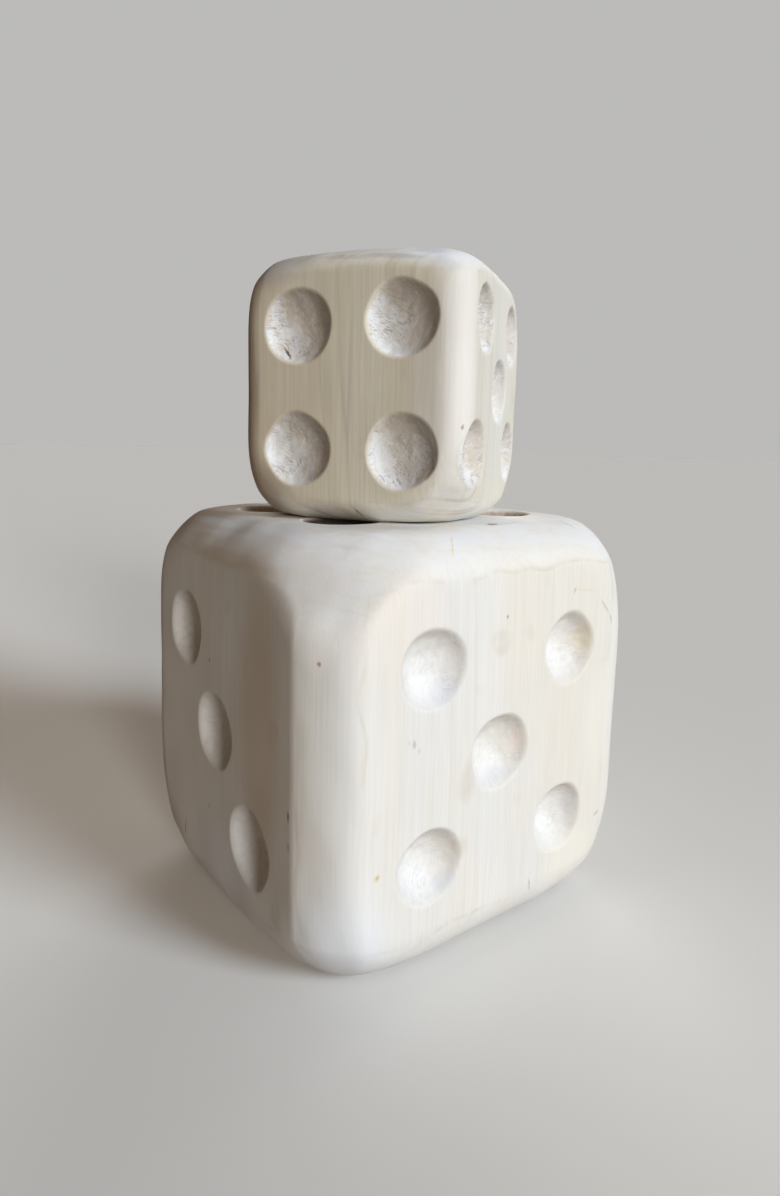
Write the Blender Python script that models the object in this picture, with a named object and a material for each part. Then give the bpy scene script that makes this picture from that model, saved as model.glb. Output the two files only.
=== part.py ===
"""Giant yard dice: two solid wooden dice, the smaller one standing on the larger.

Metres, +Z up.  The origin is the middle of the larger die's underside, and the
grain of both blocks runs along Z.  Each die is one block of wood: its edges are
ground round, its corners are ground down a little further, and its pips are
shallow bowls carved into the wood.
"""
import math
from dataclasses import dataclass

import bmesh
import bpy
from mathutils import Matrix, Vector

# Driving dimensions.
LARGE_SIZE = Vector((0.293, 0.280, 0.300))
SMALL_SIZE = Vector((0.165, 0.165, 0.180))
LARGE_ROUNDING = 0.25        # the part of each half side that the round-over takes
SMALL_ROUNDING = 0.22
ROUND_STEPS = 4              # facets from a flat to the middle of a rounded edge

PIP_DEPTH_SHARE = 0.56       # depth of a bowl as a part of its rim radius
PIP_SEGMENTS = 20
PIP_RINGS = 12

REST_GAP = 0.0003            # between the two dice
SMALL_CENTRE = Vector((-0.012, -0.018))
SMALL_TURN = math.radians(32.4)

MILLIMETRE = 0.001
PALE_WOOD = (0.80, 0.74, 0.64, 1.0)
WOOD_ROUGHNESS = 0.72

# The outward side of each face, and the direction that is to the right on it.
FACES = {
    "left": (Vector((-1, 0, 0)), Vector((0, -1, 0))),
    "front": (Vector((0, -1, 0)), Vector((1, 0, 0))),
    "right": (Vector((1, 0, 0)), Vector((0, 1, 0))),
    "back": (Vector((0, 1, 0)), Vector((-1, 0, 0))),
    "top": (Vector((0, 0, 1)), Vector((1, 0, 0))),
    "bottom": (Vector((0, 0, -1)), Vector((1, 0, 0))),
}


def diagonal(across, up):
    """A two: opposite corners of a rectangle of the given half sizes."""
    return [(-across, up), (across, -up)]


def corners(across, up):
    """A four: all corners of a rectangle of the given half sizes."""
    return diagonal(across, up) + diagonal(across, -up)


def double_row(across, up):
    """A six: two rows of three, with the rows along the face's right."""
    return corners(across, up) + [(0, up), (0, -up)]


@dataclass
class PipFace:
    """One face's bowls: their rim radius and their places in mm across and up from its middle."""
    side: str
    radius: float
    spots: list


# Opposite faces add up to seven.  The bowls were set out by eye, so on the faces
# that are seen most each one has its own place.
LARGE_PIPS = [
    PipFace("left", 0.0275, [(-52, 63), (-2, -4), (50, -71)]),
    PipFace("front", 0.0265, [(-65, 65), (65, 60), (-4, -3), (-64, -69), (62, -71)]),
    PipFace("top", 0.0265, double_row(76, 49)),
    PipFace("right", 0.0270, corners(60, 66)),
    PipFace("back", 0.0270, diagonal(58, 65)),
    PipFace("bottom", 0.0275, [(0, 0)]),
]
SMALL_PIPS = [
    PipFace("left", 0.0250, [(-36, 40), (38, 43), (-36, -42), (40, -42)]),
    PipFace("front", 0.0230, [(-41, 47), (43, 46), (4, 2), (-54, -42), (44, -41)]),
    PipFace("top", 0.0245, [(0, 0)]),
    PipFace("right", 0.0235, diagonal(41, 43) + [(0, 0)]),
    PipFace("back", 0.0240, diagonal(38, 42)),
    PipFace("bottom", 0.0185, double_row(42, 30)),
]


def clear_scene():
    """Remove whatever the opened file holds."""
    for old in list(bpy.data.objects):
        bpy.data.objects.remove(old, do_unlink=True)


def wood_material(name):
    """Pale bare wood."""
    material = bpy.data.materials.new(name)
    material.use_nodes = True
    shader = material.node_tree.nodes["Principled BSDF"]
    shader.inputs["Base Color"].default_value = PALE_WOOD
    shader.inputs["Roughness"].default_value = WOOD_ROUGHNESS
    shader.inputs["Metallic"].default_value = 0.0
    return material


def grid_stops(rounding):
    """Grid lines across one side of a cube of half side 1, close together on its round-over."""
    turns = [math.radians(45) * step / ROUND_STEPS for step in range(ROUND_STEPS + 1)]
    outer = [1.0 - rounding + rounding * math.tan(turn) for turn in turns]
    return [-stop for stop in reversed(outer)] + outer


def ground_round(point, rounding):
    """Move a point of the sharp cube of half side 1 onto the ground one."""
    flat = 1.0 - rounding
    core = Vector([min(max(value, -flat), flat) for value in point])
    rounded = core + (point - core).normalized() * rounding
    corner_reach = Vector((flat, flat, 1.0)).length
    if rounded.length > corner_reach:
        rounded.length = corner_reach
    return rounded


def block_mesh(name, size, rounding):
    """A block of the given size standing on z = 0, with ground edges and corners."""
    stops = grid_stops(rounding)
    build = bmesh.new()
    for normal, right in FACES.values():
        up = normal.cross(right)
        grid = [[build.verts.new(ground_round(normal + right * across + up * height, rounding))
                 for across in stops] for height in stops]
        for row in range(len(stops) - 1):
            for column in range(len(stops) - 1):
                build.faces.new((grid[row][column], grid[row][column + 1],
                                 grid[row + 1][column + 1], grid[row + 1][column]))
    bmesh.ops.remove_doubles(build, verts=build.verts, dist=1e-5)
    bmesh.ops.scale(build, verts=build.verts, vec=size / 2)
    bmesh.ops.translate(build, verts=build.verts, vec=(0, 0, size.z / 2))
    return finished_mesh(build, name)


def pip_cutter_mesh(name, size, pip_faces):
    """One ball for each pip of a block, sunk so far that it leaves a shallow bowl."""
    middle = Vector((0, 0, size.z / 2))
    build = bmesh.new()
    for face in pip_faces:
        normal, right = FACES[face.side]
        up = normal.cross(right)
        surface = middle + normal * abs(normal.dot(size / 2))
        depth = face.radius * PIP_DEPTH_SHARE
        ball = (face.radius ** 2 + depth ** 2) / (2 * depth)
        pole_out = normal.to_track_quat("Z", "Y").to_matrix().to_4x4()
        for across, height in face.spots:
            spot = surface + (right * across + up * height) * MILLIMETRE
            place = Matrix.Translation(spot + normal * (ball - depth)) @ pole_out
            bmesh.ops.create_uvsphere(build, u_segments=PIP_SEGMENTS, v_segments=PIP_RINGS,
                                      radius=ball, matrix=place)
    return finished_mesh(build, name)


def finished_mesh(build, name):
    """Turn a bmesh into a smooth-shaded mesh whose creases stay sharp."""
    bmesh.ops.recalc_face_normals(build, faces=build.faces)
    mesh = bpy.data.meshes.new(name)
    build.to_mesh(mesh)
    build.free()
    mesh.shade_smooth()
    mesh.set_sharp_from_angle(angle=math.radians(35))
    return mesh


def add_object(name, mesh, parent=None):
    """Put a mesh into the scene as a named object."""
    thing = bpy.data.objects.new(name, mesh)
    bpy.context.collection.objects.link(thing)
    thing.parent = parent
    return thing


def make_die(name, size, rounding, pip_faces):
    """One block of wood with its pips carved out of it."""
    die = add_object(name, block_mesh(name, size, rounding))
    die.data.materials.append(wood_material(name + "_wood"))
    cutter = add_object(name + "_pip_cutter", pip_cutter_mesh(name + "_pips", size, pip_faces), die)
    cutter.hide_render = True
    cutter.display_type = "WIRE"
    carve = die.modifiers.new("carve_pips", "BOOLEAN")
    carve.operation = "DIFFERENCE"
    carve.solver = "EXACT"
    carve.object = cutter
    return die


def build_dice():
    """Both dice, the smaller one turned and standing on the larger one's top."""
    clear_scene()
    make_die("large_die", LARGE_SIZE, LARGE_ROUNDING, LARGE_PIPS)
    small = make_die("small_die", SMALL_SIZE, SMALL_ROUNDING, SMALL_PIPS)
    small.location = (SMALL_CENTRE.x, SMALL_CENTRE.y, LARGE_SIZE.z + REST_GAP)
    small.rotation_euler.z = SMALL_TURN


build_dice()
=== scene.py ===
"""Giant yard dice, finished: two blocks of pale bare wood, ground round by hand, with carved pips.

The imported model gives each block's place, size and turn, and the place, width and depth
of every bowl.  Each block is made again here as a fine surface: its edges and corners
are ground away, its faces swell a little, its bowls have worn lips and tool marks, and
its wood is a solid texture that runs through the whole block, so that the grain and
the growth rings meet at every edge.  Metres, +Z up.
"""
import math
from dataclasses import dataclass

import bpy
import numpy as np
from mathutils import Matrix, Vector
from mathutils.geometry import delaunay_2d_cdt


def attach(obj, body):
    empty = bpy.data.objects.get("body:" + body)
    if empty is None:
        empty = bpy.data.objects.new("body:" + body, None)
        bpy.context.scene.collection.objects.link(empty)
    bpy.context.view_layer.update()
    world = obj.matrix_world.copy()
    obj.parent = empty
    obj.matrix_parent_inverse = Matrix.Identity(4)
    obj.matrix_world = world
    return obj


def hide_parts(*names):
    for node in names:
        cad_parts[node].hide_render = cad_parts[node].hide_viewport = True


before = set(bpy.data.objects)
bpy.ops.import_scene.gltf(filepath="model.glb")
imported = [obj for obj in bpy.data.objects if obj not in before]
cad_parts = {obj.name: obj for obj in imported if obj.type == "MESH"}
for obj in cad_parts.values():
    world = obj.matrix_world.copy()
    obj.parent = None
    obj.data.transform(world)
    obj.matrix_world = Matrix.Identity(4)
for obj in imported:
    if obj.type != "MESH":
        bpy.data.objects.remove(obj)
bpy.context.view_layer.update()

MM = 0.001

# Camera: where it stands, how it is turned, and its lens in mm on a 36 mm sensor.
CAMERA_PLACE = (-0.3681, -0.4867, 0.3541)
CAMERA_TURN = math.radians(-37.02)
CAMERA_TILT_DOWN = math.radians(8.3)
CAMERA_ROLL = math.radians(1.33)
CAMERA_LENS = 22.81
CAMERA_SHIFT = (0.0059, -0.0371)

# Light: a daylight key from the front right, a weaker one from the front left and one behind,
# in a dim warm room.
KEY_FROM = (0.34, -0.94, 0.46)
KEY_STRENGTH = 2.3
KEY_SPREAD = math.radians(22)
KEY_COLOUR = (0.83, 0.92, 1.0)
FILL_FROM = (-0.19, -0.96, 0.20)
FILL_STRENGTH = 1.42
FILL_SPREAD = math.radians(14)
FILL_COLOUR = (1.0, 0.98, 0.94)
BACK_FROM = (0.74, 0.66, 0.25)
BACK_STRENGTH = 1.3
BACK_SPREAD = math.radians(40)
ROOM_ABOVE = (0.102, 0.066, 0.037)
ROOM_BELOW = (0.160, 0.130, 0.100)
BACKDROP_COLOUR = (0.50, 0.495, 0.485)
FLOOR_COLOUR = (0.93, 0.925, 0.91)
FLOOR_SIZE = 60.0

# The fine surface: how its points are spaced, and how far hand work strays from the plain shape.
EDGE_LINES = 14              # from a flat to the middle of its round-over
BOWL_STEP = 0.5              # spacing over a bowl, as a part of that on the flats
RIM_START = 2.5 * MM         # the rings inside a bowl end this far from its rim
RIM_HALF = 2.4 * MM          # the close rings reach this far to both sides of the rim
RIM_STEP = 0.8 * MM
RIM_END = 2.8 * MM           # the rings outside start this far from the rim
RINGED = 1.16                # and end at this many radii
CORNER_SIZE = 30 * MM        # over this depth a corner takes on its own reach
RIM_WOBBLE = 0.014           # how far a rim strays from a circle, as a part of its radius

# Each face of a block: its outward direction and the direction to the right on it.
FACES = {
    "left": ((-1, 0, 0), (0, -1, 0)),
    "front": ((0, -1, 0), (1, 0, 0)),
    "right": ((1, 0, 0), (0, 1, 0)),
    "back": ((0, 1, 0), (-1, 0, 0)),
    "top": ((0, 0, 1), (1, 0, 0)),
    "bottom": ((0, 0, -1), (1, 0, 0)),
}


@dataclass
class Bowl:
    """A carved pip, in its block's own axes: the face it is on and its place and size there."""
    normal: np.ndarray
    right: np.ndarray
    up: np.ndarray
    across: float
    height: float
    radius: float
    depth: float


@dataclass
class Block:
    """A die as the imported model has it: its middle, half sizes, turn about Z and bowls."""
    middle: np.ndarray
    half: np.ndarray
    turn: float
    bowls: list


@dataclass
class Grinding:
    """How a block was ground by hand.  Pairs are (negative side, positive side) for X, Y and Z."""
    step: float                # distance between the surface's points on the flats
    inset: tuple               # from each side's plane to where its round-over begins
    fullness: tuple            # 2 is a round edge, less cuts it flatter, more leaves it fuller
    near_fullness: float       # that of the left side where it nears the front
    crown: tuple               # how far the middle of each side swells
    reach: float               # farthest that a corner stands from the block's middle
    softness: float            # how softly a corner's grinding runs out
    corners: dict              # reach and softness of the corners that differ
    lip: float                 # how softly a bowl's rim is worn
    seed: int


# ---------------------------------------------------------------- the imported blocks

def axes_of(face):
    """A face's outward, right and up directions."""
    normal, right = (np.array(direction, float) for direction in FACES[face])
    return normal, right, np.cross(normal, right)


def read_block(node):
    """Find a die's place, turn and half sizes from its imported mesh."""
    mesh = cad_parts[node].data
    normals = np.empty((len(mesh.polygons), 3))
    areas = np.empty(len(mesh.polygons))
    points = np.empty((len(mesh.vertices), 3))
    mesh.polygons.foreach_get("normal", normals.ravel())
    mesh.polygons.foreach_get("area", areas)
    mesh.vertices.foreach_get("co", points.ravel())
    quarter_turns = 4 * np.arctan2(normals[:, 1], normals[:, 0])
    upright = np.abs(normals[:, 2]) < 0.05
    flat = upright
    for _ in range(2):      # the second time over the flat sides alone
        turn = math.atan2((areas[flat] * np.sin(quarter_turns[flat])).sum(),
                          (areas[flat] * np.cos(quarter_turns[flat])).sum()) / 4
        flat = upright & (np.cos(quarter_turns - 4 * turn) > 0.999)
    squared = points @ turned(turn)
    low, high = squared.min(axis=0), squared.max(axis=0)
    middle, half = (low + high) / 2, (high - low) / 2
    bowls = read_bowls(squared - middle, half)
    return Block(turned(turn) @ middle, half, turn, bowls)


def turned(angle):
    """The matrix that turns a block's own axes to its place in the frame."""
    return np.array(Matrix.Rotation(angle, 3, "Z"))


def read_bowls(points, half):
    """Find every bowl: its deepest point is its middle, and its rim is the nearest ring on the flat."""
    on_the_flat, shallow = 0.74, 2 * MM
    bowls = []
    for face in FACES:
        normal, right, up = axes_of(face)
        depth = half @ np.abs(normal) - points @ normal
        across, height = points @ right, points @ up
        inside = (np.abs(across) < on_the_flat * (half @ np.abs(right))) \
            & (np.abs(height) < on_the_flat * (half @ np.abs(up))) & (depth < half.min())
        rim = inside & (depth < 0.01 * MM)
        carved = inside & (depth > shallow)
        while carved.any():
            deepest = np.flatnonzero(carved)[depth[carved].argmax()]
            away = np.hypot(across - across[deepest], height - height[deepest])
            radius = away[rim & (away < 1.12 * away[rim].min())].max()
            bowls.append(Bowl(normal, right, up, across[deepest], height[deepest],
                              radius, depth[deepest]))
            carved &= away > 1.05 * radius
    return bowls


# ---------------------------------------------------------------- the fine surface

def ring_points(bowl, step):
    """Points in rings over a bowl, closest together at its rim."""
    rim, close = bowl.radius, BOWL_STEP * step
    radii = np.concatenate([np.arange(close, rim - RIM_START, close),
                            np.arange(rim - RIM_HALF, rim + RIM_HALF, RIM_STEP),
                            np.arange(rim + RIM_END, RINGED * rim, close)])
    places = [np.zeros((1, 2))]
    for index, radius in enumerate(radii):
        count = int(2 * math.pi * radius / close) + 6
        angle = np.arange(count) * 2 * math.pi / count + index
        places.append(np.column_stack([np.cos(angle), np.sin(angle)]) * radius)
    return np.concatenate(places) + (bowl.across, bowl.height)


def stops_along(axis, block, grinding):
    """Where the sharp block's lines cross one axis: evenly on the flat, closer on the edges."""
    half = block.half[axis]
    low, high = grinding.inset[axis]
    turns = np.radians(np.linspace(0, 45, EDGE_LINES))[1:]
    flat = np.linspace(low - half, half - high, int((2 * half - low - high) / grinding.step))
    low_edge = low - half - low * np.tan(turns)
    high_edge = half - high + high * np.tan(turns)
    return np.concatenate([low_edge[::-1], flat, high_edge])


def sharp_face(face, block, grinding):
    """One side of the sharp block as points and triangles, with rings of points over its bowls."""
    normal, right, up = axes_of(face)
    wide = stops_along(np.abs(right).argmax(), block, grinding) * right.sum()
    tall = stops_along(np.abs(up).argmax(), block, grinding) * up.sum()
    grid = np.stack(np.meshgrid(wide, tall), axis=-1).reshape(-1, 2)
    limit = np.array([np.abs(wide).max(), np.abs(tall).max()])
    border = (np.abs(grid) > limit - 1e-7).any(axis=1)
    rings = []
    for bowl in block.bowls:
        if bowl.normal @ normal < 0.5:
            continue
        ring = ring_points(bowl, grinding.step)
        rings.append(ring[(np.abs(ring) < limit - grinding.step).all(axis=1)])
        away = np.hypot(grid[:, 0] - bowl.across, grid[:, 1] - bowl.height)
        keep = border | (away > RINGED * bowl.radius + 0.3 * grinding.step)
        grid, border = grid[keep], border[keep]
    flat = np.concatenate([grid] + rings)
    made, _, triangles = delaunay_2d_cdt([Vector(point) for point in flat], [], [], 0, 1e-7)[:3]
    made = np.array([tuple(point) for point in made])
    points = normal * (block.half @ np.abs(normal)) + made[:, :1] * right + made[:, 1:] * up
    return points, np.array(triangles)


def sharp_block(block, grinding):
    """The whole sharp block, its six sides joined along their edges."""
    points, triangles, count = [], [], 0
    for face in FACES:
        side, corners = sharp_face(face, block, grinding)
        points.append(side)
        triangles.append(corners + count)
        count += len(side)
    points, triangles = np.concatenate(points), np.concatenate(triangles)
    _, first, joined = np.unique(np.round(points / (0.01 * MM)).astype(int), axis=0,
                                 return_index=True, return_inverse=True)
    return points[first], joined.ravel()[triangles]


def by_side(points, pairs):
    """For each point and axis, the value of the side that the point is on."""
    low, high = np.array(pairs, float).T
    return np.where(points < 0, low, high)


def soft_min(first, second, blend):
    """The lesser of two lengths, rounded where they come within `blend` of each other."""
    share = np.clip(0.5 + 0.5 * (second - first) / blend, 0, 1)
    return second * (1 - share) + first * share - blend * share * (1 - share)


def smooth_step(value, low, high):
    """0 below `low`, 1 above `high` and smooth between."""
    share = np.clip((value - low) / (high - low), 0, 1)
    return share * share * (3 - 2 * share)


def unevenness(points, length, random, stretch=(1, 1, 1), waves=28):
    """A smooth random field of about unit size, with humps about `length` long."""
    total = np.zeros(len(points))
    for _ in range(waves):
        way = random.normal(size=3)
        way *= 2 * math.pi / (np.linalg.norm(way) * length * random.uniform(0.7, 1.5))
        total += np.cos(points @ (way / np.array(stretch)) + random.uniform(0, 2 * math.pi))
    return total / math.sqrt(waves / 2)


def ground_edges(points, block, grinding):
    """Move the sharp block's points onto its round-overs; also says how far over the edge each is."""
    inset = by_side(points, grinding.inset)
    core = np.sign(points) * np.minimum(np.abs(points), block.half - inset)
    over = np.abs(points - core) / inset
    fullness = by_side(points, grinding.fullness)
    near = smooth_step(-points[:, 1] / block.half[1], 0.0, 0.8) * (points[:, 0] < 0)
    fullness[:, 0] += (grinding.near_fullness - fullness[:, 0]) * near
    power = (over * fullness).sum(axis=1) / over.sum(axis=1)
    size = (over ** power[:, None]).sum(axis=1) ** (1 / power)
    return core + (points - core) / size[:, None], np.sort(over, axis=1)[:, 1]


def swollen(points, block, grinding):
    """Let the middle of each side swell by its crown."""
    share = points / block.half
    swell = np.clip(1 - share ** 2, 0, 1)
    others = np.roll(swell, 1, axis=1) * np.roll(swell, -1, axis=1)
    return points + by_side(points, grinding.crown) * share * others


def ground_corners(points, grinding):
    """Grind the corners down to how far they reach from the middle."""
    reach = np.full(len(points), grinding.reach)
    softness = np.full(len(points), grinding.softness)
    for signs, (corner_reach, corner_softness) in grinding.corners.items():
        near = smooth_step((np.array(signs) * points).min(axis=1), 0, CORNER_SIZE)
        reach += (corner_reach - grinding.reach) * near
        softness += (corner_softness - grinding.softness) * near
    away = np.linalg.norm(points, axis=1)
    return points * (soft_min(away, reach, softness) / away)[:, None]


def outward(points, triangles):
    """Each point's outward direction, from the triangles round it."""
    a, b, c = (points[triangles[:, corner]] for corner in range(3))
    facing = np.cross(b - a, c - a)
    total = np.column_stack([
        sum(np.bincount(triangles[:, corner], facing[:, axis], len(points)) for corner in range(3))
        for axis in range(3)])
    return total / np.linalg.norm(total, axis=1, keepdims=True)


def carve(points, bowl, block, grinding, random):
    """Cut one bowl into the points, along its face's normal.

    Says how much of a bowl each point is, and how much of its lower left part, the side that the light
    falls on; the wood paints that part whiter and the rest browner, as painted light and shade.
    """
    face = block.half @ np.abs(bowl.normal)
    level = points @ bowl.normal - face
    across, height = points @ bowl.right - bowl.across, points @ bowl.up - bowl.height
    angle = np.arctan2(height, across)
    wobble = sum(random.uniform(0.2, 1) * np.cos(turns * angle + random.uniform(0, 2 * math.pi))
                 for turns in (2, 3, 4, 5))
    away = np.hypot(across, height) / (1 + RIM_WOBBLE * wobble)
    near = (away < 1.5 * bowl.radius) & (level > -3 * bowl.depth)
    ring = near & (away > bowl.radius) & (away < 1.2 * bowl.radius)
    surface = np.percentile(level[ring], 65)
    ball = (bowl.radius ** 2 + bowl.depth ** 2) / (2 * bowl.depth)
    floor = surface + ball - bowl.depth - np.sqrt(np.clip(ball ** 2 - away ** 2, 0, None))
    inside = near * (1 - smooth_step(away, 0.86 * bowl.radius, 1.02 * bowl.radius))
    strokes = unevenness(points, 9 * MM, random) * 0.16 * MM \
        + unevenness(points, 4.5 * MM, random) * 0.10 * MM
    cut = np.where(near, soft_min(level, floor + strokes * inside, grinding.lip), level)
    points += (cut - level)[:, None] * bowl.normal
    share = near * (1 - smooth_step(away, 0.93 * bowl.radius, 1.02 * bowl.radius))
    return share, share * smooth_step(-(across + height) / bowl.radius, -0.9, 0.9)


def ground_surface(block, grinding):
    """The finished surface of a die: points in its own axes, triangles, and the fields its wood reads."""
    random = np.random.default_rng(grinding.seed)
    points, triangles = sharp_block(block, grinding)
    points, over = ground_edges(points, block, grinding)
    points = ground_corners(swollen(points, block, grinding), grinding)
    over += 0.05 * unevenness(points, 34 * MM, random)
    ground = smooth_step(over, 0.0, 0.40)
    rough = 0.15 * MM * unevenness(points, 60 * MM, random) \
        + 0.30 * MM * ground * unevenness(points, 42 * MM, random, (1, 1, 2.2)) \
        + 0.04 * MM * ground * unevenness(points, 16 * MM, random, (1, 1, 2.2))
    facing = outward(points, triangles)
    end_grain = smooth_step(np.abs(facing[:, 2]), 0.20, 0.90)
    points += facing * rough[:, None]
    bowls, painted_lit_side, cross_cut = np.zeros((3, len(points)))
    for bowl in block.bowls:
        share, painted_lit_share = carve(points, bowl, block, grinding, random)
        if abs(bowl.normal[2]) > 0.5:
            cross_cut = np.maximum(cross_cut, share)
        else:
            bowls = np.maximum(bowls, share)
            painted_lit_side = np.maximum(painted_lit_side, painted_lit_share)
    return points, triangles, {"ground": ground, "end_grain": end_grain, "bowl": bowls,
                               "painted_lit_side": painted_lit_side, "cross_cut": cross_cut}


def add_die(name, node, body, block, grinding, material):
    """Make a die's fine surface, put it in its block's place and let it stand for the CAD node."""
    points, triangles, fields = ground_surface(block, grinding)
    placed = points @ turned(block.turn).T + block.middle
    mesh = bpy.data.meshes.new(name)
    mesh.from_pydata(placed.tolist(), [], triangles.tolist())
    for field, values in fields.items():
        mesh.attributes.new(field, "FLOAT", "POINT").data.foreach_set("value", values)
    mesh.shade_smooth()
    mesh.materials.append(material)
    die = bpy.data.objects.new(name, mesh)
    bpy.context.scene.collection.objects.link(die)
    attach(die, body)
    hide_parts(node)


LARGE_GRINDING = Grinding(
    step=3.2 * MM,
    inset=((33.6 * MM, 38 * MM), (33.6 * MM, 40 * MM), (38 * MM, 32 * MM)),
    fullness=((1.8, 2.2), (1.9, 2.2), (2.2, 1.9)),
    near_fullness=1.2,
    crown=((2 * MM, 2.5 * MM), (2.5 * MM, 2 * MM), (0, 0)),
    reach=0.214,
    softness=24 * MM,
    corners={
        (-1, -1, 1): (0.2045, 8 * MM),
        (1, -1, 1): (0.217, 20 * MM),
        (1, -1, -1): (0.216, 20 * MM),
        (-1, -1, -1): (0.215, 18 * MM),
        (-1, 1, 1): (0.218, 26 * MM),
    },
    lip=3.2 * MM,
    seed=11,
)
SMALL_GRINDING = Grinding(
    step=2.3 * MM,
    inset=((22 * MM, 18 * MM), (22 * MM, 18 * MM), (16 * MM, 17 * MM)),
    fullness=((2.0, 2.0), (2.3, 2.0), (2.0, 2.0)),
    near_fullness=2.4,
    crown=((1.2 * MM, 1.2 * MM), (1.2 * MM, 1.2 * MM), (0, 0.6 * MM)),
    reach=0.132,
    softness=19 * MM,
    corners={
        (-1, -1, -1): (0.120, 10 * MM),
        (1, -1, -1): (0.122, 12 * MM),
        (-1, 1, -1): (0.124, 12 * MM),
        (1, 1, -1): (0.121, 12 * MM),
        (-1, 1, 1): (0.126, 12 * MM),
    },
    lip=1.6 * MM,
    seed=23,
)


# ---------------------------------------------------------------- the wood

# How closely each pattern follows on itself: humps to a metre along X, Y and Z, the grain being
# along Z, or across the growth rings alone.
BAND_RATE = 36.0
RING_RATE = 210.0
WAVER_RATE = (7, 7, 2.2)
PATCH_RATE = (12, 12, 3)
SHOWN_RATE = (24, 24, 7)
FIBRE_RATE = (520, 520, 12)
SANDING_RATE = (40, 40, 16)
SMEAR_RATE = (26, 26, 130)
STAIN_RATE = 45.0
FLECK_RATE = (110, 110, 70)
MOTTLE_RATE = (170, 170, 120)
STROKE_PATCH_RATE = 55.0
STRIPE_RATE = (320, 320, 14)
SPECK_RATE = (900, 900, 500)
SPECK_GROUP_RATE = 35.0
MARK_EDGE_RATE = 420.0
WORN_RATE = 30.0
PIT_RATE = 330.0

# Length, width and thickness of the tool's strokes.
STROKE_SIZE = (5 * MM, 5 * MM, 0.65 * MM)

# Colours laid over each block's own.
VERGE = (0.54, 0.46, 0.36)
SANDED = (0.84, 0.82, 0.78)
END_DARK = (0.56, 0.49, 0.43)
END_PALE = (0.79, 0.81, 0.86)
BOWL_BROWN = (0.55, 0.46, 0.38)
BOWL_WHITE = (0.79, 0.80, 0.83)
BOWL_GREY = (0.45, 0.455, 0.465)
STROKE_DARK = (0.36, 0.36, 0.365)
STROKE_PALE = (0.84, 0.87, 0.93)
CROSS_CUT_DARK = (0.33, 0.235, 0.17)
CROSS_CUT_PALE = (0.53, 0.41, 0.32)
SPECK = (0.42, 0.34, 0.27)


@dataclass
class Mark:
    """A knot, check, stain or paler place, or a patch of painted light or shade, as an ellipsoid in the
    block's own axes.  Lengths in mm.
    """
    place: tuple
    size: tuple                # half lengths, thin across a check and long along it
    colour: tuple
    strength: float
    turn: tuple = (0, 0, 0)    # degrees
    in_bowl: bool = False      # only the bowls show it


@dataclass
class Timber:
    """How one block's wood looks.  The pith is the centre of the growth rings."""
    pith: tuple                # metres from the block's middle
    pith_lean: tuple           # degrees about X and Y
    waver: float               # metres that the rings wander
    offset: tuple              # moves every noise field, so that no two blocks match
    pale: tuple
    warm: tuple
    grey: tuple
    line: tuple
    line_share: float          # how plainly the ring lines show
    end_line_share: float      # the same where the surface cuts across the grain
    fibre_share: float         # how plainly the fibres show
    end_share: float           # how plainly the ends are smeared white
    stain: float               # how brown the bowls are
    bleach: float              # how white they are in patches
    mottle: float              # how grey and blotched they are
    scribble: float            # how plainly the tool marks show
    marks: list


def plug(tree, value, socket):
    """Link a socket, or set a plain value."""
    if isinstance(value, bpy.types.NodeSocket):
        tree.links.new(value, socket)
    else:
        socket.default_value = value


def add_node(tree, kind, sockets, **settings):
    """Add a shader node with its settings, and plug its sockets by name or number."""
    made = tree.nodes.new("ShaderNode" + kind)
    for name, value in settings.items():
        setattr(made, name, value)
    for key, value in sockets.items():
        plug(tree, value, made.inputs[key])
    return made


def calc(tree, operation, first, second=0.0):
    """One sum on two numbers."""
    return add_node(tree, "Math", {0: first, 1: second}, operation=operation).outputs[0]


def vector_calc(tree, operation, first, second=(0, 0, 0)):
    """One sum on two vectors."""
    return add_node(tree, "VectorMath", {0: first, 1: second}, operation=operation)


def fade(tree, value, low, high, at_low=0.0, at_high=1.0):
    """Smooth change from one value to another while the input goes from `low` to `high`."""
    return add_node(tree, "MapRange", {0: value, 1: low, 2: high, 3: at_low, 4: at_high},
                    interpolation_type="SMOOTHSTEP").outputs[0]


def radians(degrees):
    """Three angles, from degrees."""
    return tuple(math.radians(angle) for angle in degrees)


def mix(tree, share, under, over, blend="MIX"):
    """Lay one colour over another.  Each is a socket or a plain colour."""
    under, over = ((*colour, 1) if isinstance(colour, tuple) else colour for colour in (under, over))
    return add_node(tree, "Mix", {0: share, 6: under, 7: over},
                    data_type="RGBA", blend_type=blend).outputs[2]


def noise(tree, place, scale, detail=2.0, roughness=0.5, distortion=0.0):
    """Smooth noise between 0 and 1.  The scale is per metre, one number or one for each axis."""
    if isinstance(scale, tuple):
        place, scale = vector_calc(tree, "MULTIPLY", place, scale).outputs[0], 1.0
    return add_node(tree, "TexNoise", {"Vector": place, "Scale": scale, "Detail": detail,
                                       "Roughness": roughness, "Distortion": distortion}).outputs["Fac"]


def strayed(tree, place, seen, scale, detail, reach):
    """A place moved by smooth noise that is read at `seen`, by up to half of `reach` along each axis."""
    made = add_node(tree, "TexNoise", {"Vector": seen, "Scale": scale, "Detail": detail})
    either_way = vector_calc(tree, "SUBTRACT", made.outputs["Color"], (0.5, 0.5, 0.5)).outputs[0]
    step = vector_calc(tree, "MULTIPLY", either_way, reach).outputs[0]
    return vector_calc(tree, "ADD", place, step).outputs[0]


def noise_along(tree, distance, scale, detail, roughness):
    """Noise that changes with one distance only."""
    return add_node(tree, "TexNoise", {"W": distance, "Scale": scale, "Detail": detail,
                                       "Roughness": roughness}, noise_dimensions="1D").outputs["Fac"]


def field_of(tree, name):
    """A field that the surface carries."""
    return add_node(tree, "Attribute", {}, attribute_name=name).outputs["Fac"]


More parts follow.
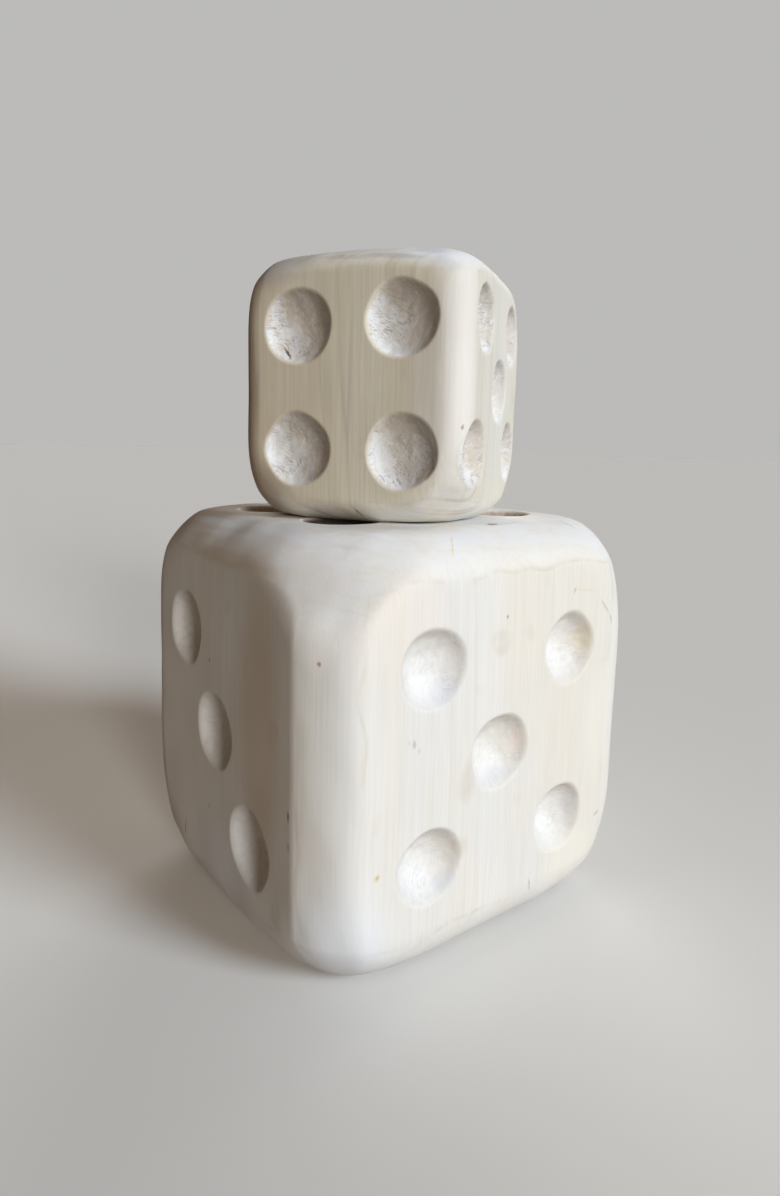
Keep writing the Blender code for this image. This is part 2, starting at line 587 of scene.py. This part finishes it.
def own_axes(tree, block):
    """Metres from the block's middle, along the block's own axes."""
    seen = tree.nodes.new("ShaderNodeTexCoord").outputs["Object"]
    return add_node(tree, "Mapping", {"Vector": seen, "Location": tuple(block.middle),
                                      "Rotation": (0, 0, block.turn)}, vector_type="TEXTURE").outputs[0]


def ring_distance(tree, place, timber):
    """Distance from the pith, with the slow waver that growth rings have."""
    drawn_out = vector_calc(tree, "MULTIPLY", place, WAVER_RATE).outputs[0]
    wavering = strayed(tree, place, drawn_out, 1.0, 1.0, (timber.waver, timber.waver, 0))
    from_pith = add_node(tree, "Mapping", {"Vector": wavering, "Location": timber.pith,
                                           "Rotation": radians((*timber.pith_lean, 0))},
                         vector_type="TEXTURE").outputs[0]
    level = vector_calc(tree, "MULTIPLY", from_pith, (1, 1, 0)).outputs[0]
    return vector_calc(tree, "LENGTH", level).outputs["Value"]


def grain_colour(tree, place, rings, fibres, timber):
    """The wood's own colour: broad bands between rings, slow patches and fibres."""
    bands = fade(tree, noise_along(tree, rings, BAND_RATE, 2.0, 0.6), 0.34, 0.66)
    colour = mix(tree, bands, timber.pale, timber.warm)
    patches = fade(tree, noise(tree, place, PATCH_RATE, 2.0, 0.5), 0.40, 0.66, 0.0, 0.9)
    colour = mix(tree, patches, colour, timber.grey)
    darkest, brightest = 1.0 - timber.fibre_share, 1.0 + 0.4 * timber.fibre_share
    streaks = fade(tree, fibres, 0.25, 0.75, darkest, brightest)
    streaks = add_node(tree, "CombineColor", {0: streaks, 1: streaks, 2: streaks}).outputs[0]
    return mix(tree, 1.0, colour, streaks, "MULTIPLY")


def ring_lines(tree, place, colour, rings, end_grain, timber):
    """Fine growth-ring lines, plainer in some places than in others."""
    lines = fade(tree, noise_along(tree, rings, RING_RATE, 4.0, 0.62), 0.46, 0.76)
    shown = fade(tree, noise(tree, place, SHOWN_RATE, 3.0, 0.6), 0.36, 0.64, 0.15, 1.0)
    share = fade(tree, end_grain, 0.2, 1.0, timber.line_share, timber.end_line_share)
    shown = calc(tree, "MULTIPLY", shown, share)
    return mix(tree, calc(tree, "MULTIPLY", lines, shown), colour, timber.line)


def ground_colour(tree, place, colour, ground, end_grain, timber):
    """Round-overs are sanded paler, with a browner verge.

    Where they cut across the grain they are darker, with bluish smears.
    """
    sanding = noise(tree, place, SANDING_RATE, 3.0, 0.6)
    begins, ends = fade(tree, ground, 0.06, 0.20), fade(tree, ground, 0.20, 0.60, 1.0, 0.0)
    verge = calc(tree, "MULTIPLY", calc(tree, "MULTIPLY", begins, ends),
                 fade(tree, sanding, 0.44, 0.64, 0.0, 0.32))
    colour = mix(tree, verge, colour, VERGE)
    sanded = calc(tree, "MULTIPLY", ground, fade(tree, sanding, 0.3, 0.7, 0.15, 0.50))
    colour = mix(tree, sanded, colour, SANDED)
    smear = noise(tree, place, SMEAR_RATE, 4.0, 0.62, 0.6)
    dark = calc(tree, "MULTIPLY", end_grain, fade(tree, smear, 0.34, 0.50, 0.12, 0.0))
    colour = mix(tree, dark, colour, END_DARK)
    pale = calc(tree, "MULTIPLY", end_grain, fade(tree, smear, 0.38, 0.62, 0.10, timber.end_share))
    return mix(tree, pale, colour, END_PALE)


def bowl_colour(tree, place, colour, bowl, painted_lit_side, strokes, timber):
    """Bowls are stained and mottled, whiter in patches, with the tool's strokes.  Each is painted whiter
    on its lit lower left side and browner elsewhere: painted light and shade.
    """
    def lay(share, over):
        return mix(tree, calc(tree, "MULTIPLY", bowl, share), colour, over)

    elsewhere = vector_calc(tree, "ADD", place, (3, 1, 2)).outputs[0]
    stain = noise(tree, elsewhere, STAIN_RATE, 2.0)
    stain = fade(tree, stain, 0.40, 0.66, 0.65 * timber.stain, timber.stain)
    # Painted shade: the stain keeps to the side of each bowl away from the light.
    stain = calc(tree, "MULTIPLY", stain, fade(tree, painted_lit_side, 0.1, 0.9, 1.0, 0.20))
    colour = lay(stain, BOWL_BROWN)
    flecks = noise(tree, place, FLECK_RATE, 5.0, 0.7, 0.4)
    # Painted light: more bleach on each bowl's lit lower left side.
    flecks = calc(tree, "ADD", flecks, fade(tree, painted_lit_side, 0.1, 0.9, -0.15, 0.08))
    bleach = fade(tree, flecks, 0.36, 0.66, 0.15 * timber.bleach, timber.bleach)
    colour = lay(bleach, BOWL_WHITE)
    mottle = noise(tree, place, MOTTLE_RATE, 7.0, 0.78, 1.2)
    colour = lay(fade(tree, mottle, 0.48, 0.68, 0.0, timber.mottle), BOWL_GREY)
    dark, pale = strokes
    colour = lay(calc(tree, "MULTIPLY", pale, 0.8 * timber.scribble), STROKE_PALE)
    return lay(calc(tree, "MULTIPLY", dark, timber.scribble), STROKE_DARK)


def cross_cut_colour(tree, place, colour, cross_cut):
    """Bowls cut into the ends of the grain are browner, with upright stripes."""
    stripes = fade(tree, noise(tree, place, STRIPE_RATE, 3.0, 0.6), 0.40, 0.62)
    brown = mix(tree, stripes, CROSS_CUT_DARK, CROSS_CUT_PALE)
    return mix(tree, calc(tree, "MULTIPLY", cross_cut, 0.85), colour, brown)


def tool_strokes(tree, place):
    """Strokes left by the carving tool, dark and then pale.

    Each kind is noise drawn out into thin sheets, which the surface cuts into strokes,
    at its own slant and in its own patches.
    """
    kinds = []
    for slant, offset in (((35, -35, 0), 4.0), ((-55, 50, 20), 8.0)):
        sheets = add_node(tree, "Mapping", {"Vector": place, "Rotation": radians(slant),
                                            "Scale": STROKE_SIZE}, vector_type="TEXTURE").outputs[0]
        strokes = fade(tree, noise(tree, sheets, 1.0, 2.0, 0.5, 0.9), 0.50, 0.68)
        elsewhere = vector_calc(tree, "ADD", place, (offset, offset, offset)).outputs[0]
        patches = fade(tree, noise(tree, elsewhere, STROKE_PATCH_RATE, 3.0, 0.6), 0.38, 0.60)
        kinds.append(calc(tree, "MULTIPLY", strokes, patches))
    return kinds


def specked(tree, place, colour):
    """Tiny dark specks, in loose groups."""
    specks = fade(tree, noise(tree, place, SPECK_RATE, 2.0, 0.5), 0.72, 0.80)
    grouped = fade(tree, noise(tree, place, SPECK_GROUP_RATE, 3.0, 0.6), 0.54, 0.70, 0.0, 0.30)
    return mix(tree, calc(tree, "MULTIPLY", specks, grouped), colour, SPECK)


def marked(tree, place, colour, hollows, mark):
    """Lay one mark on the wood, with a ragged edge."""
    ragged = strayed(tree, place, place, MARK_EDGE_RATE, 2.0, (2 * MM, 2 * MM, 2 * MM))
    within = add_node(tree, "Mapping", {"Vector": ragged,
                                        "Location": tuple(length * MM for length in mark.place),
                                        "Rotation": radians(mark.turn),
                                        "Scale": tuple(length * MM for length in mark.size)},
                      vector_type="TEXTURE").outputs[0]
    away = vector_calc(tree, "LENGTH", within).outputs["Value"]
    share = fade(tree, away, 0.35, 1.1, mark.strength, 0.0)
    if mark.in_bowl:
        share = calc(tree, "MULTIPLY", share, hollows)
    return mix(tree, share, colour, mark.colour)


def wood_finish(name, block, timber):
    """Bare wood all through one block."""
    material = bpy.data.materials.new(name)
    material.use_nodes = True
    tree = material.node_tree
    shader = tree.nodes["Principled BSDF"]
    own = own_axes(tree, block)
    place = vector_calc(tree, "ADD", own, timber.offset).outputs[0]
    ground, end_grain, bowl, painted_lit_side, cross_cut = (
        field_of(tree, field) for field in ("ground", "end_grain", "bowl", "painted_lit_side", "cross_cut"))
    rings = ring_distance(tree, own, timber)
    fibres = noise(tree, place, FIBRE_RATE, 3.0, 0.6)
    strokes = tool_strokes(tree, place)
    colour = grain_colour(tree, place, rings, fibres, timber)
    colour = ground_colour(tree, place, colour, ground, end_grain, timber)
    colour = ring_lines(tree, place, colour, rings, end_grain, timber)
    colour = bowl_colour(tree, place, colour, bowl, painted_lit_side, strokes, timber)
    colour = cross_cut_colour(tree, place, colour, cross_cut)
    colour = specked(tree, place, colour)
    hollows = calc(tree, "MAXIMUM", bowl, cross_cut)
    for mark in timber.marks:
        colour = marked(tree, own, colour, hollows, mark)
    plug(tree, colour, shader.inputs["Base Color"])
    worn = fade(tree, noise(tree, place, WORN_RATE, 3.0), 0.3, 0.7, 0.60, 0.74)
    rougher = calc(tree, "MULTIPLY", bowl, 0.08)
    plug(tree, calc(tree, "ADD", worn, rougher), shader.inputs["Roughness"])
    shader.inputs["Specular IOR Level"].default_value = 0.35
    scores = calc(tree, "MULTIPLY", strokes[0], 0.7)
    pits = calc(tree, "SUBTRACT", noise(tree, place, PIT_RATE, 3.0, 0.65), scores)
    pits = calc(tree, "MULTIPLY", calc(tree, "MULTIPLY", bowl, pits), 0.2 + timber.scribble)
    relief = calc(tree, "ADD", calc(tree, "MULTIPLY", fibres, 0.35), pits)
    bump = add_node(tree, "Bump", {"Height": relief, "Strength": 0.5, "Distance": 0.5 * MM})
    plug(tree, bump.outputs[0], shader.inputs["Normal"])
    return material


# Colours of the marks, some of them painted light and shade.
DARK = (0.10, 0.075, 0.055)
BROWN = (0.34, 0.24, 0.16)
RED_BROWN = (0.45, 0.22, 0.13)
OCHRE = (0.72, 0.58, 0.34)
GREY = (0.45, 0.43, 0.42)
# Near-black painted shadow, for the gap under the smaller die.
GAP_PAINTED_SHADOW = (0.045, 0.033, 0.025)
PEACH = (0.85, 0.75, 0.67)
ROSE = (0.86, 0.815, 0.78)
PUTTY = (0.62, 0.58, 0.54)
# Blue-grey.  Inside the larger die's front bowls it is painted shade.
DUSK = (0.60, 0.63, 0.71)
TAN = (0.60, 0.51, 0.40)
# Pale painted light, on the lower part of the larger die's left side.
PAINTED_LIGHT_PALE = (0.82, 0.80, 0.78)
CREAM = (0.86, 0.82, 0.74)
# Bluish white: sanding streaks, and painted light on the larger die's lower left side, near edge and
# bottom corner.
CHALK_AND_PAINTED_LIGHT = (0.82, 0.86, 0.92)

LARGE_TIMBER = Timber(
    pith=(0.085, 0.065, 0.0),
    pith_lean=(0.5, -0.7),
    waver=0.028,
    offset=(0.7, 0.2, 0.4),
    pale=(0.80, 0.785, 0.75),
    warm=(0.79, 0.75, 0.68),
    grey=(0.775, 0.765, 0.75),
    line=(0.66, 0.58, 0.47),
    line_share=0.30,
    end_line_share=0.22,
    fibre_share=0.05,
    end_share=0.80,
    stain=0.22,
    bleach=0.42,
    mottle=0.18,
    scribble=0.26,
    marks=[
        # Broad tones of the left side.  Its lower part is painted paler, as painted light from below.
        Mark((-150, -66, 20), (30, 34, 140), TAN, 0.62),
        Mark((-150, 80, -90), (40, 90, 150), PAINTED_LIGHT_PALE, 0.80),
        Mark((-150, -14, -112), (20, 80, 60), CHALK_AND_PAINTED_LIGHT, 0.55),
        Mark((-110, 70, 146), (60, 80, 30), TAN, 0.40),
        # Sanding along the upper left edge.
        Mark((-131, 34, 144), (12, 60, 5), CHALK_AND_PAINTED_LIGHT, 0.75, (0, 35, 0)),
        Mark((-128, -34, 146), (12, 50, 4), CHALK_AND_PAINTED_LIGHT, 0.70, (2, 30, 0)),
        Mark((-137, 10, 138), (10, 60, 3), CHALK_AND_PAINTED_LIGHT, 0.50, (-3, 40, 0)),
        Mark((-123, -74, 145), (16, 40, 8), CHALK_AND_PAINTED_LIGHT, 0.55, (0, 30, 0)),
        Mark((-146, -20, 124), (8, 90, 8), TAN, 0.40),
        # Painted shadow: the deep shade in the gap under the smaller die, painted near-black into the
        # bowl there.
        Mark((-72, -36, 140), (44, 38, 28), GAP_PAINTED_SHADOW, 0.92, in_bowl=True),
        # Broad tones of the near edge, its corners and the front.  The bluish white at the bottom corner
        # and down the near edge is painted light.
        Mark((-140, -140, -140), (60, 60, 95), CHALK_AND_PAINTED_LIGHT, 0.85),
        Mark((-146, -146, 20), (30, 30, 170), CHALK_AND_PAINTED_LIGHT, 0.35),
        Mark((80, -141, -112), (40, 16, 34), CREAM, 0.55),
        Mark((104, -141, 0), (22, 16, 60), CREAM, 0.35),
        Mark((-91, -141, 98), (46, 14, 44), PEACH, 0.32),
        Mark((-134, -100, 116), (24, 30, 24), PUTTY, 0.55),
        # Tints inside the front's bowls.  The blue-grey ones are painted shade.
        Mark((-53, -135, 46), (13, 14, 9), DUSK, 0.35, (0, -35, 0)),
        Mark((-2, -135, -22), (14, 14, 6), DUSK, 0.35),
        Mark((-48, -137, -86), (12, 12, 8), DUSK, 0.40, (0, -35, 0)),
        Mark((85, -134, 64), (10, 14, 16), OCHRE, 0.38),
        Mark((18, -137, 1), (7, 12, 14), PEACH, 0.60),
        Mark((81, -134, -68), (8, 12, 16), DUSK, 0.22),
        # Small knots, checks and scratches of the near edge, the front and its upper edge.
        Mark((-138, -122, 75), (1.7, 1.7, 2.0), RED_BROWN, 0.85),
        Mark((-80, -142, 19), (1.3, 8, 3.6), GREY, 0.65, (0, 4, 0)),
        Mark((-76, -142, 14), (1.0, 8, 2.6), GREY, 0.50, (0, 12, 0)),
        Mark((-84, -142, 21), (0.8, 8, 2.2), GREY, 0.40, (0, -8, 0)),
        Mark((-2, -142, 91), (1.3, 8, 1.6), BROWN, 0.7),
        Mark((-43, -129, 140), (0.8, 12, 12), OCHRE, 0.65, (0, 0, -37)),
        Mark((10, -111, 150), (7, 2.4, 8), DARK, 0.75),
        Mark((22, -112, 150), (16, 1.0, 6), GREY, 0.45, (0, 0, 6)),
        Mark((82, -117, 147), (10, 1.3, 8), GREY, 0.50, (0, 0, -50)),
        Mark((104, -141, 86), (10, 8, 1.1), GREY, 0.55, (0, 48, 0)),
        Mark((112, -141, 76), (5, 8, 1.3), GREY, 0.60, (0, 68, 0)),
        Mark((80, -141, 101), (15, 8, 0.9), OCHRE, 0.35, (0, 8, 0)),
        Mark((67, -141, 102), (1.0, 8, 3.6), GREY, 0.70, (0, 18, 0)),
        Mark((110, -141, -81), (4, 8, 1.4), BROWN, 0.50, (0, -30, 0)),
        Mark((35, -141, -116), (1.0, 9, 7), BROWN, 0.45, (0, -14, 0)),
        Mark((-106, -141, -62), (2.6, 9, 3.2), OCHRE, 0.75),
        Mark((-106, -141, -62), (1.0, 9, 1.2), BROWN, 0.6),
        # Small checks of the left side.
        Mark((-147, -103, -26), (9, 1.3, 5), DARK, 0.7),
        Mark((-147, -103, -46), (9, 1.1, 4), DARK, 0.55),
        Mark((-147, 60, -104), (9, 0.8, 10), DARK, 0.60, (12, 0, 0)),
        Mark((-148, 13, -66), (8, 1.0, 3), DARK, 0.50),
        Mark((-148, 9, 47), (8, 1.4, 1.6), DARK, 0.65),
    ],
)
SMALL_TIMBER = Timber(
    pith=(0.050, 0.062, 0.0),
    pith_lean=(-0.4, 0.3),
    waver=0.018,
    offset=(1.9, 0.8, 1.3),
    pale=(0.73, 0.68, 0.56),
    warm=(0.69, 0.615, 0.48),
    grey=(0.72, 0.70, 0.645),
    line=(0.54, 0.45, 0.33),
    line_share=0.50,
    end_line_share=1.0,
    fibre_share=0.08,
    end_share=0.45,
    stain=0.85,
    bleach=0.90,
    mottle=0.42,
    scribble=0.78,
    marks=[
        # Broad tones of the near edge and the upper left edge, with its sanding.
        Mark((-84, -84, 0), (26, 20, 110), ROSE, 0.60),
        Mark((-70, -60, 88), (40, 44, 16), CHALK_AND_PAINTED_LIGHT, 0.75),
        Mark((-80, 62, 84), (30, 46, 22), GREY, 0.60),
        Mark((-79, -30, 82), (10, 26, 2.6), GREY, 0.50, (6, 0, 0)),
        Mark((-72, -52, 86), (10, 16, 4), DUSK, 0.45, (10, 0, 0)),
        Mark((-78, -66, 76), (6, 12, 5), DUSK, 0.40, (30, 0, 0)),
        Mark((-79, 4, 83), (10, 30, 2.2), GREY, 0.35, (4, 0, 0)),
        # The far edge, painted browner and darker as painted shade, and the paler front.
        Mark((-82, 86, -10), (26, 20, 130), BROWN, 0.80),
        Mark((-76, 68, -74), (24, 30, 30), BROWN, 0.60),
        Mark((40, -86, 0), (60, 24, 120), CHALK_AND_PAINTED_LIGHT, 0.20),
        # Small checks and a knot.
        Mark((-77, 46, 23), (14, 0.8, 7.0), DARK, 0.95, (-40, 0, 0)),
        Mark((-79, -10, -84), (10, 0.7, 7), DARK, 0.65, (-38, 0, 0)),
        Mark((-82, 6, 84), (10, 2.2, 2.2), GREY, 0.55, (20, 0, 0)),
        Mark((-75, -78, -25), (1.2, 1.6, 2.6), BROWN, 0.80),
        Mark((-83, -3, 0), (8, 2.0, 70), GREY, 0.30, (1.5, 0, 0)),
    ],
)


# ---------------------------------------------------------------- studio

def add_camera():
    """The camera, at the height and angle from which the dice are seen."""
    data = bpy.data.cameras.new("camera")
    data.lens = CAMERA_LENS
    data.shift_x, data.shift_y = CAMERA_SHIFT
    data.clip_start = 0.01
    camera = bpy.data.objects.new("camera", data)
    bpy.context.scene.collection.objects.link(camera)
    turn = Matrix.Rotation(CAMERA_TURN, 4, "Z")
    tilt = Matrix.Rotation(math.pi / 2 - CAMERA_TILT_DOWN, 4, "X")
    roll = Matrix.Rotation(CAMERA_ROLL, 4, "Z")
    camera.matrix_world = Matrix.Translation(CAMERA_PLACE) @ turn @ tilt @ roll
    bpy.context.scene.camera = camera


def add_light(name, towards, strength, spread, colour):
    """A soft light so far off that it is even over the whole floor."""
    data = bpy.data.lights.new(name, "SUN")
    data.energy = strength
    data.angle = spread
    data.color = colour
    light = bpy.data.objects.new(name, data)
    light.rotation_mode = "QUATERNION"
    light.rotation_quaternion = Vector(towards).to_track_quat("Z", "Y")
    bpy.context.scene.collection.objects.link(light)


def add_room():
    """A dim warm room, paler below, for the light, and a plain pale backdrop for the camera."""
    world = bpy.data.worlds.new("room")
    world.use_nodes = True
    tree = world.node_tree
    seen = tree.nodes.new("ShaderNodeTexCoord").outputs["Generated"]
    height = add_node(tree, "SeparateXYZ", {0: seen}).outputs["Z"]
    glow = mix(tree, fade(tree, height, -0.4, 0.4), ROOM_BELOW, ROOM_ABOVE)
    plug(tree, glow, tree.nodes["Background"].inputs["Color"])
    backdrop = add_node(tree, "Background", {"Color": (*BACKDROP_COLOUR, 1)})
    camera_ray = tree.nodes.new("ShaderNodeLightPath").outputs["Is Camera Ray"]
    choice = add_node(tree, "MixShader", {0: camera_ray, 1: tree.nodes["Background"].outputs[0],
                                          2: backdrop.outputs[0]})
    plug(tree, choice.outputs[0], tree.nodes["World Output"].inputs["Surface"])
    bpy.context.scene.world = world


def add_floor():
    """A plain pale floor."""
    material = bpy.data.materials.new("floor")
    material.use_nodes = True
    shader = material.node_tree.nodes["Principled BSDF"]
    shader.inputs["Base Color"].default_value = (*FLOOR_COLOUR, 1)
    shader.inputs["Roughness"].default_value = 1.0
    shader.inputs["Specular IOR Level"].default_value = 0.0
    edge = FLOOR_SIZE / 2
    mesh = bpy.data.meshes.new("floor")
    corners = [(-edge, -edge, 0), (edge, -edge, 0), (edge, edge, 0), (-edge, edge, 0)]
    mesh.from_pydata(corners, [], [(0, 1, 2, 3)])
    mesh.materials.append(material)
    floor = bpy.data.objects.new("floor", mesh)
    bpy.context.scene.collection.objects.link(floor)
    floor.visible_diffuse = False      # its light on the dice is part of the room's


def build():
    """The dice and the studio."""
    bpy.context.scene.view_settings.view_transform = "Standard"
    large, small = read_block("large_die"), read_block("small_die")
    add_die("large_die_wood", "large_die", "large_die", large, LARGE_GRINDING,
            wood_finish("large_wood_finish", large, LARGE_TIMBER))
    add_die("small_die_wood", "small_die", "small_die", small, SMALL_GRINDING,
            wood_finish("small_wood_finish", small, SMALL_TIMBER))
    add_camera()
    add_light("key", KEY_FROM, KEY_STRENGTH, KEY_SPREAD, KEY_COLOUR)
    add_light("fill", FILL_FROM, FILL_STRENGTH, FILL_SPREAD, FILL_COLOUR)
    add_light("back", BACK_FROM, BACK_STRENGTH, BACK_SPREAD, FILL_COLOUR)
    add_room()
    add_floor()


build()
